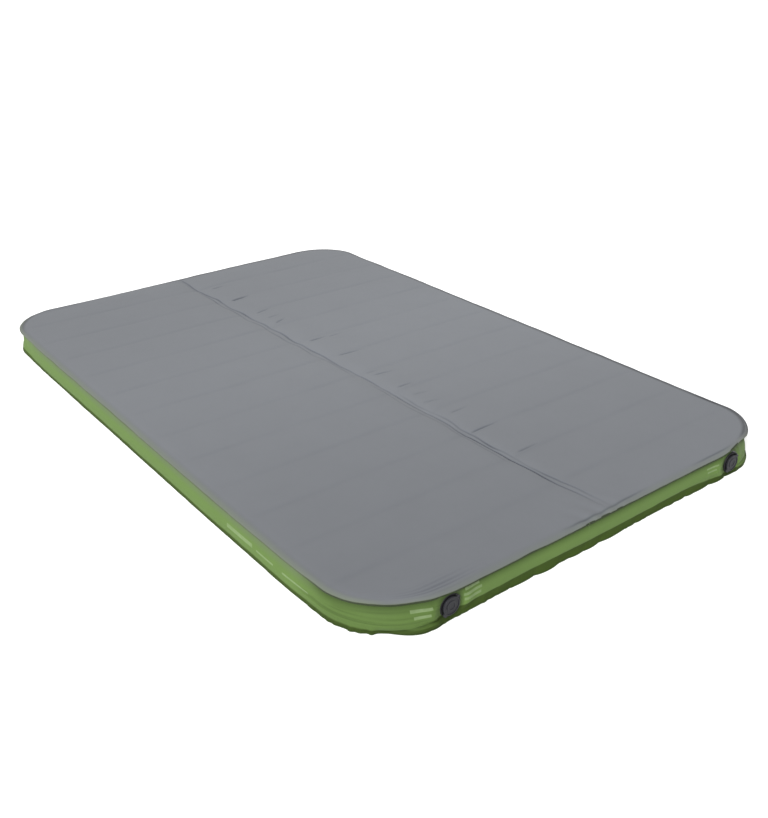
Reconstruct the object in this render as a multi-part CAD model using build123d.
from build123d import *
import math
import os

# Double self-inflating sleeping mat: a flat box-walled envelope over two foam slabs with
# transverse air channels, and a flip-cap twist valve in the foot wall of each half.
#
# Millimetres, +Z up, origin on the floor under the centre of the mat. +X runs across the width
# and +Y towards the head, so the foot wall with the valves faces -Y. The left (-X) and right (+X)
# halves meet at a crease plane just right of the origin.

os.makedirs("parts", exist_ok=True)

OVER = 1.0                 # how far a cutter runs past the face it opens
LAP = 0.5                  # how far joined solids overlap

# ---------------------------------------------------------------- mat dimensions
LENGTH = 2000.0            # head to foot over the edge seams
WIDTH = 1320.0             # side to side over the edge seams
THICK = 75.0               # floor to sleeping surface
CORNER_R = 170.0           # plan radius of the corners, over the seams
SHEET = 1.2                # cover sheets and wall strip
SEAM_T = 1.5               # how far an edge seam stands out from the wall
SEAM_H = 9.0
CREASE_X = 1.0
SPLIT = 0.1                # each half to the crease plane

FOAM_GAP_CREASE = 6.0      # foam slab to crease plane
FOAM_GAP_WALL = 2.8        # foam slab to wall strip
FOAM_GAP_SHEET = 0.15      # foam slab to cover sheets
CHANNEL_COUNT = 12         # transverse air channels through each slab
CHANNEL_R = 18.0
CHANNEL_PITCH = LENGTH / (CHANNEL_COUNT + 1)
POCKET_R = 32.0            # pocket in the foam around the valve
POCKET_BOTTOM = -26.0      # in the valve frame, as is the next value
WALL_CUT = 10.0            # reach of the valve cutters either side of the wall

VALVE_X = 460.0            # valve axis from x = 0, on either side
VALVE_Z = THICK / 2
WALL_Y = -(LENGTH / 2 - SEAM_T)      # outer face of the foot wall

# ---------------------------------------------------------------- valve dimensions
# Valve frame: z = 0 on the outer face of the wall, +z outwards, +y up the wall.
FLANGE_R = 27.0            # body flange outside the wall
FLANGE_T = 3.0
FLANGE_ROUND = 1.6
GROOVE_OUT, GROOVE_IN = 23.6, 22.4   # ring groove in the flange, radii
GROOVE_DEPTH = 0.7
COLLAR_R = 17.5            # raised collar the cap seals on
COLLAR_TOP = 4.5
MOUTH_R = 15.0
MOUTH_TOP = 3.3            # above this the mouth flares into a lead-in cone
MOUTH_LEAD = 0.9           # how much wider the cone is at the collar top
MOUTH_BOTTOM = -3.5
BARREL_R = 20.0
BARREL_END = -15.0
WALL_CLEAR = 0.3           # barrel to wall strip
CHAMBER_R = 17.0           # chamber of the twist core
CHAMBER_CUT_END = BARREL_END - 5.0   # the cutter runs out of the barrel's open end
SCOOP_R = 4.2              # spherical finger scoop in the flange, under the cap's tab
SCOOP_INSET = 0.5          # scoop centre inside the flange edge
SCOOP_RISE = 1.6           # scoop centre above the flange

WELD_R = 29.5              # disc welded inside the wall
WELD_T = 1.2
WELD_CLEAR = 0.1
NUT_TOP = -SHEET - WELD_T
NUT_R = 25.5               # over the corners
NUT_SIDES = 12
NUT_T = 4.0
NUT_CLEAR = 0.05

CORE_R = 16.7              # twist core
CUP_R = 14.5               # inside of the core's cup
CORE_TOP = -3.7
FLOOR_TOP = -9.5
FLOOR_BOTTOM = -12.3
BAR_LENGTH, BAR_WIDTH = 26.0, 3.0    # finger bar across the cup
BAR_TOP = -4.3
BAR_BOTTOM = FLOOR_TOP - 0.3         # sunk into the floor
BAR_END_ROUND = 1.2
BAR_TOP_ROUND = 0.7
O_GROOVE_R = 15.6          # bottom of the O-ring groove
O_GROOVE_TOP, O_GROOVE_BOTTOM = -10.15, -11.65
O_RING_R = 16.28           # centre of the section
O_RING_SECTION_R = 0.66

SEAT_TOP = -12.5
SEAT_BOTTOM = -16.5
SEAT_CLEAR = 0.05          # seat plate's plug to the chamber
WINDOW_IN, WINDOW_OUT = 9.3, 14.3    # air windows, radii
WINDOW_DEG = 76.0
HOLE_R = 1.9               # four round air holes inside the windows
HOLE_OFFSET = 5.4
HOLE_ANGLES = (45, 135, 225, 315)
WEDGE_REACH = 60.0         # sides of the wedge that cuts a ring into a sector

STEM_R = 1.5               # diaphragm stem
STEM_SEAT_CLEAR = 0.02
STEM_TOP = SEAT_TOP - 0.1
STEM_HEAD_R = 3.2
STEM_HEAD_TOP = -20.4
STEM_HEAD_T = 1.2
DIAPHRAGM_R = 8.6
DIAPHRAGM_T = 0.9
DIAPHRAGM_TOP = SEAT_BOTTOM - 0.1
DIAPHRAGM_CLEAR = 0.06     # diaphragm to stem

CAP_R = 21.5
CAP_BOTTOM = 5.8
CAP_TOP = 8.0
CAP_ROUND = 1.1
CAP_RING_OUT, CAP_RING_IN = 18.6, 12.2    # ring recess in the cap top, radii
CAP_RING_DEPTH = 0.9
CAP_DISH_R = 8.0           # round recess in the middle of the cap top
CAP_DISH_DEPTH = 0.7
SKIRT_OUT, SKIRT_IN = 20.2, 18.2
SKIRT_BOTTOM = 3.4
TAB_OUT = 23.0             # centre of the tab from the valve axis
TAB_LENGTH, TAB_WIDTH, TAB_T = 7.0, 11.0, 1.9
TAB_ROUND = 1.8
GASKET_OUT, GASKET_IN = 17.4, 15.95

HINGE_DIR = 45.0           # cap hinge, degrees from +x towards +y; the tab is opposite
PIN_R = 1.0
PIN_OUT = 24.5             # hinge pin from the valve axis
PIN_Z = 5.5
HINGE_R = 2.0              # rounded ends of the ears and the knuckle
EAR_OFFSET = 4.6           # middle of an ear along the pin
EAR_T = 2.2
EAR_BOTTOM = 2.4
EAR_PIN_CLEAR = 0.02
EAR_BORE_LENGTH = 30.0
PIN_LENGTH = 2 * EAR_OFFSET + EAR_T       # flush with both ears
KNUCKLE_W = 6.6
KNUCKLE_REACH = 4.6        # arm from the pin in towards the cap
KNUCKLE_ARM_T = 2.2
KNUCKLE_ARM_RISE = 0.9     # middle of the arm above the pin
KNUCKLE_PIN_CLEAR = 0.06
KNUCKLE_BORE_LENGTH = KNUCKLE_W + 0.2


# ---------------------------------------------------------------- shared shapes
def cylinder(radius, z0, z1):
    return Pos(0, 0, (z0 + z1) / 2) * Cylinder(radius, z1 - z0)


def ring(outer_r, inner_r, z0, z1):
    return cylinder(outer_r, z0, z1) - cylinder(inner_r, z0 - OVER, z1 + OVER)


def sector(outer_r, inner_r, span, middle, z0, z1):
    """Part of a ring, span degrees wide about the angle middle."""
    rays = [math.radians(middle + turn) for turn in (-span / 2, span / 2)]
    start, end = [(WEDGE_REACH * math.cos(ray), WEDGE_REACH * math.sin(ray)) for ray in rays]
    apex = (0, 0)
    wedge = make_face([Line(apex, start), Line(start, end), Line(end, apex)])
    prism = Pos(0, 0, z0 - OVER) * extrude(wedge, z1 - z0 + 2 * OVER)
    return ring(outer_r, inner_r, z0, z1) & prism


def round_top_rim(shape, radius):
    return fillet(shape.edges().filter_by(GeomType.CIRCLE).sort_by(Axis.Z)[-1], radius)


# ---------------------------------------------------------------- envelope and foam
def outline(inset, z0, z1):
    """Prism of the mat's plan, inset from the outside of the seams."""
    plan = RectangleRounded(WIDTH - 2 * inset, LENGTH - 2 * inset, CORNER_R - inset)
    return Pos(0, 0, z0) * extrude(plan, z1 - z0)


def half(shape, side, gap=SPLIT):
    """The part on one side of the crease plane: side is -1 for left, +1 for right."""
    keep = Pos(CREASE_X + side * (gap + WIDTH / 2), 0, 0) * Box(WIDTH, 2 * LENGTH, 6 * THICK)
    return shape & keep


def at_valve(shape, side):
    """Move a shape from the valve frame to its place in the foot wall."""
    return Pos(side * VALVE_X, WALL_Y, VALVE_Z) * Rot(90, 0, 0) * shape


def cover(side, bottom):
    return half(outline(SEAM_T, bottom, bottom + SHEET), side)


def side_wall(side):
    wall = outline(SEAM_T, SHEET, THICK - SHEET) - outline(SEAM_T + SHEET, 0, THICK)
    wall = half(wall, side)
    return wall - at_valve(cylinder(BARREL_R + WALL_CLEAR, -WALL_CUT, WALL_CUT), side)


def edge_seam(side, bottom):
    seam = outline(0, bottom, bottom + SEAM_H)
    return half(seam - outline(SEAM_T, bottom - THICK, bottom + THICK), side)


def foam_core(side):
    edge = SHEET + FOAM_GAP_SHEET
    foam = outline(SEAM_T + SHEET + FOAM_GAP_WALL, edge, THICK - edge)
    foam = half(foam, side, FOAM_GAP_CREASE)
    for k in range(1, CHANNEL_COUNT + 1):
        y = -LENGTH / 2 + CHANNEL_PITCH * k
        foam -= Pos(side * WIDTH / 4, y, THICK / 2) * Rot(0, 90, 0) * Cylinder(CHANNEL_R, WIDTH)
    return foam - at_valve(cylinder(POCKET_R, POCKET_BOTTOM, WALL_CUT), side)


def envelope_parts(side):
    return {
        "top_cover": cover(side, THICK - SHEET),
        "base_cover": cover(side, 0),
        "side_wall": side_wall(side),
        "top_edge_seam": edge_seam(side, THICK - SEAM_H),
        "base_edge_seam": edge_seam(side, 0),
        "foam_core": foam_core(side),
    }


# ---------------------------------------------------------------- valve, in its own frame
def at_hinge(shape):
    """Local x points away from the valve axis, local y along the pin."""
    return Rot(0, 0, HINGE_DIR) * Pos(PIN_OUT, 0, 0) * shape


def along_pin(radius, length):
    return Pos(0, 0, PIN_Z) * Rot(90, 0, 0) * Cylinder(radius, length)


def opposite_hinge(radius, z, shape):
    return Rot(0, 0, HINGE_DIR + 180) * Pos(radius, 0, z) * shape


def hinge_ear(side):
    ear = Pos(0, 0, (EAR_BOTTOM + PIN_Z) / 2) * Box(2 * HINGE_R, EAR_T, PIN_Z - EAR_BOTTOM)
    return Pos(0, side * EAR_OFFSET, 0) * (ear + along_pin(HINGE_R, EAR_T))


def valve_body():
    body = round_top_rim(cylinder(FLANGE_R, 0, FLANGE_T), FLANGE_ROUND)
    body += cylinder(COLLAR_R, FLANGE_T - LAP, COLLAR_TOP)
    body += cylinder(BARREL_R, BARREL_END, LAP)
    # stepped bore: mouth, lead-in cone, chamber
    body -= cylinder(MOUTH_R, MOUTH_BOTTOM - LAP, MOUTH_TOP + 0.01)
    slope = MOUTH_LEAD / (COLLAR_TOP - MOUTH_TOP)
    cone_h = COLLAR_TOP - MOUTH_TOP + OVER
    cone = Cone(MOUTH_R, MOUTH_R + slope * cone_h, cone_h)
    body -= Pos(0, 0, MOUTH_TOP + cone_h / 2) * cone
    body -= cylinder(CHAMBER_R, CHAMBER_CUT_END, MOUTH_BOTTOM)
    body -= ring(GROOVE_OUT, GROOVE_IN, FLANGE_T - GROOVE_DEPTH, FLANGE_T + OVER)
    body += at_hinge(hinge_ear(-1) + hinge_ear(1))
    body -= at_hinge(along_pin(PIN_R + EAR_PIN_CLEAR, EAR_BORE_LENGTH))
    scoop = Sphere(SCOOP_R)
    return body - opposite_hinge(FLANGE_R - SCOOP_INSET, FLANGE_T + SCOOP_RISE, scoop)


def lock_nut():
    """Nut that clamps the weld disc."""
    bottom = NUT_TOP - NUT_T
    nut = Pos(0, 0, bottom) * extrude(RegularPolygon(NUT_R, NUT_SIDES), NUT_T)
    return nut - cylinder(BARREL_R + NUT_CLEAR, bottom - OVER, NUT_TOP + OVER)


def cut_airways(plate, window_angles, z0, z1):
    for angle in window_angles:
        plate -= sector(WINDOW_OUT, WINDOW_IN, WINDOW_DEG, angle, z0, z1)
    for angle in HOLE_ANGLES:
        plate -= Rot(0, 0, angle) * Pos(HOLE_OFFSET, 0, 0) * cylinder(HOLE_R, z0, z1)
    return plate


def seat_plate():
    """Plate that closes the inner end of the barrel."""
    z0, z1 = SEAT_BOTTOM - OVER, SEAT_TOP + OVER
    seat = cylinder(BARREL_R, SEAT_BOTTOM, BARREL_END)
    seat += cylinder(CHAMBER_R - SEAT_CLEAR, BARREL_END - LAP, SEAT_TOP)
    seat = cut_airways(seat, (0, 180), z0, z1)
    return seat - cylinder(STEM_R + STEM_SEAT_CLEAR, z0, z1)


def twist_core():
    """Cup with a finger bar; its windows stand a quarter turn from the seat plate's."""
    core = cylinder(CORE_R, FLOOR_BOTTOM, FLOOR_TOP)
    core += ring(CORE_R, CUP_R, FLOOR_BOTTOM, CORE_TOP)
    core = cut_airways(core, (90, 270), FLOOR_BOTTOM - OVER, FLOOR_TOP + LAP)
    bar = Box(BAR_LENGTH, BAR_WIDTH, BAR_TOP - BAR_BOTTOM)
    bar = Pos(0, 0, (BAR_BOTTOM + BAR_TOP) / 2) * bar
    bar = fillet(bar.edges().filter_by(Axis.Z), BAR_END_ROUND)
    bar = fillet(bar.faces().sort_by(Axis.Z)[-1].edges(), BAR_TOP_ROUND)
    core += bar
    return core - ring(CORE_R + OVER, O_GROOVE_R, O_GROOVE_BOTTOM, O_GROOVE_TOP)


def core_o_ring():
    return Pos(0, 0, (O_GROOVE_TOP + O_GROOVE_BOTTOM) / 2) * Torus(O_RING_R, O_RING_SECTION_R)


def diaphragm():
    bottom = DIAPHRAGM_TOP - DIAPHRAGM_T
    return ring(DIAPHRAGM_R, STEM_R + DIAPHRAGM_CLEAR, bottom, DIAPHRAGM_TOP)


def diaphragm_stem():
    stem = cylinder(STEM_R, STEM_HEAD_TOP - LAP, STEM_TOP)
    return stem + cylinder(STEM_HEAD_R, STEM_HEAD_TOP - STEM_HEAD_T, STEM_HEAD_TOP)


def valve_cap():
    cap = round_top_rim(cylinder(CAP_R, CAP_BOTTOM, CAP_TOP), CAP_ROUND)
    cap -= ring(CAP_RING_OUT, CAP_RING_IN, CAP_TOP - CAP_RING_DEPTH, CAP_TOP + OVER)
    cap -= cylinder(CAP_DISH_R, CAP_TOP - CAP_DISH_DEPTH, CAP_TOP + OVER)
    cap += ring(SKIRT_OUT, SKIRT_IN, SKIRT_BOTTOM, CAP_BOTTOM + LAP)
    tab = opposite_hinge(TAB_OUT, CAP_BOTTOM + TAB_T / 2, Box(TAB_LENGTH, TAB_WIDTH, TAB_T))
    cap += fillet(tab.edges().filter_by(Axis.Z), TAB_ROUND)
    arm = Box(KNUCKLE_REACH, KNUCKLE_W, KNUCKLE_ARM_T)
    knuckle = Pos(-KNUCKLE_REACH / 2, 0, PIN_Z + KNUCKLE_ARM_RISE) * arm
    knuckle += along_pin(HINGE_R, KNUCKLE_W)
    cap += at_hinge(knuckle)
    return cap - at_hinge(along_pin(PIN_R + KNUCKLE_PIN_CLEAR, KNUCKLE_BORE_LENGTH))


VALVE_PARTS = {
    "valve_body": valve_body(),
    "valve_weld_disc": ring(WELD_R, BARREL_R + WELD_CLEAR, NUT_TOP, -SHEET),
    "valve_lock_nut": lock_nut(),
    "valve_seat_plate": seat_plate(),
    "twist_core": twist_core(),
    "core_o_ring": core_o_ring(),
    "diaphragm": diaphragm(),
    "diaphragm_stem": diaphragm_stem(),
    "valve_cap": valve_cap(),
    "cap_gasket": ring(GASKET_OUT, GASKET_IN, COLLAR_TOP, CAP_BOTTOM),
    "cap_hinge_pin": at_hinge(along_pin(PIN_R, PIN_LENGTH)),
}

# ---------------------------------------------------------------- write the parts
for side, label in ((-1, "left"), (1, "right")):
    parts = envelope_parts(side)
    for name, shape in VALVE_PARTS.items():
        parts[name] = at_valve(shape, side)
    for name, shape in parts.items():
        export_step(shape, f"parts/{name}_{label}.step")
